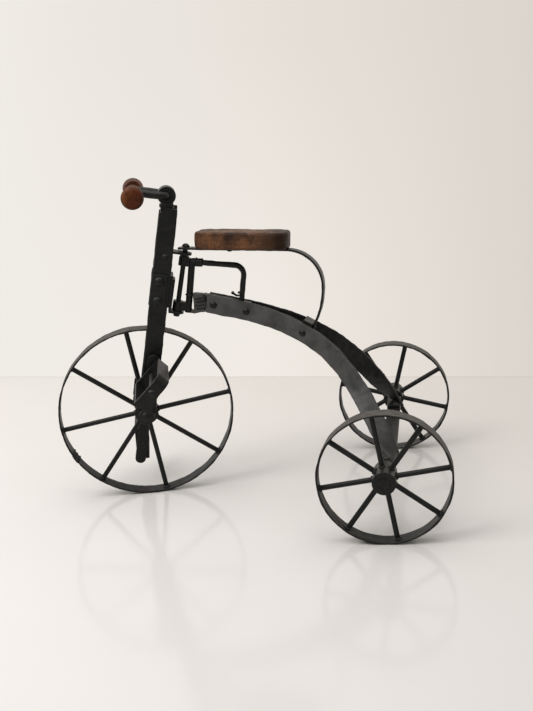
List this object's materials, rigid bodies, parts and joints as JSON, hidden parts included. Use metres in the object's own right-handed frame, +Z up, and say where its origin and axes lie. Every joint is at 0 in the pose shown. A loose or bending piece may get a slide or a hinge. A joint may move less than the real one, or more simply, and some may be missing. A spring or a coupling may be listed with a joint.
{
  "type": "children's tricycle",
  "caption": "Antique-style forged iron children's tricycle with spoked band wheels, crank pedals on the front axle, twisted strap backbone, sprung wooden seat and turned wooden grips.",
  "frame": {"origin": "middle of the footprint on the floor: halfway between the front of the front wheel and the back of the rear wheels, midway between the rear hubs, at the height where the wheels stand", "axes": "+X forward, +Y to the rider's left along the rear axle, +Z up"},
  "size_m": [0.645, 0.46, 0.5255],
  "materials": {
    "black_iron": "satin black, hand-forged, worn at the edges",
    "worn_band": "satin black worn to grey-brown where the band faces up",
    "rivet_iron": "blackened, hammered",
    "pin_steel": "blackened, with traces of rust",
    "seat_wood": "oiled dark walnut, mottled",
    "grip_wood": "turned, reddish brown, oiled"
  },
  "bodies": {
    "frame": {"left_strap": "black_iron", "right_strap": "black_iron", "head_plate": "black_iron", "head_post": "black_iron", "brace_bar": "black_iron", "brace_hook": "black_iron", "backbone_rivets": "rivet_iron", "cross_bar": "black_iron", "seat_spring": "black_iron", "seat_board": "seat_wood", "seat_bolts": "rivet_iron", "spring_bolt": "rivet_iron", "steering_pin": "pin_steel", "pin_nut": "pin_steel", "pin_washers": "pin_steel", "rear_axle": "black_iron", "axle_bolts": "rivet_iron", "axle_washers": "pin_steel", "axle_rings": "pin_steel"},
    "fork": {"left_blade": "black_iron", "right_blade": "black_iron", "fork_cheeks": "black_iron", "fork_bolts": "rivet_iron", "fork_block": "black_iron", "axle_keepers": "black_iron", "keeper_bolts": "rivet_iron", "upper_lug": "black_iron", "lug_block": "black_iron", "lug_rivet": "rivet_iron", "lower_lug": "black_iron", "bar_socket": "black_iron", "handlebar": "black_iron", "left_grip": "grip_wood", "right_grip": "grip_wood"},
    "front_wheel": {"front_rim": "worn_band", "front_spokes": "black_iron", "front_hub": "black_iron", "front_axle": "pin_steel", "axle_spacers": "pin_steel", "left_crank": "black_iron", "right_crank": "black_iron", "pedal_spindles": "pin_steel", "spindle_washers": "pin_steel"},
    "left_pedal": {"left_pedal": "black_iron"},
    "right_pedal": {"right_pedal": "black_iron"},
    "left_wheel": {"left_rim": "worn_band", "left_spokes": "black_iron", "left_hub": "black_iron"},
    "right_wheel": {"right_rim": "worn_band", "right_spokes": "black_iron", "right_hub": "black_iron"}
  },
  "joints": [
    {"name": "steering", "type": "hinge", "parent": "frame", "child": "fork", "pos_m": [0.09605, 0, 0.38682], "axis": [-0.225, 0, 0.9744], "range_deg": [-60, 30]},
    {"name": "front_wheel_spin", "type": "hinge", "parent": "fork", "child": "front_wheel", "pos_m": [0.1791, 0.00724, 0.1455], "axis": [-0.2555, 0.965, -0.059], "continuous": true},
    {"name": "left_pedal_spin", "type": "hinge", "parent": "front_wheel", "child": "left_pedal", "pos_m": [0.14226, 0.08768, 0.21396], "axis": [-0.2555, 0.965, -0.059], "continuous": true},
    {"name": "right_pedal_spin", "type": "hinge", "parent": "front_wheel", "child": "right_pedal", "pos_m": [0.21594, -0.0732, 0.07704], "axis": [-0.2555, 0.965, -0.059], "continuous": true},
    {"name": "left_wheel_spin", "type": "hinge", "parent": "frame", "child": "left_wheel", "pos_m": [-0.22365, 0.204, 0.0989], "axis": [0, 1, 0], "continuous": true},
    {"name": "right_wheel_spin", "type": "hinge", "parent": "frame", "child": "right_wheel", "pos_m": [-0.22365, -0.204, 0.0989], "axis": [0, 1, 0], "continuous": true}
  ]
}
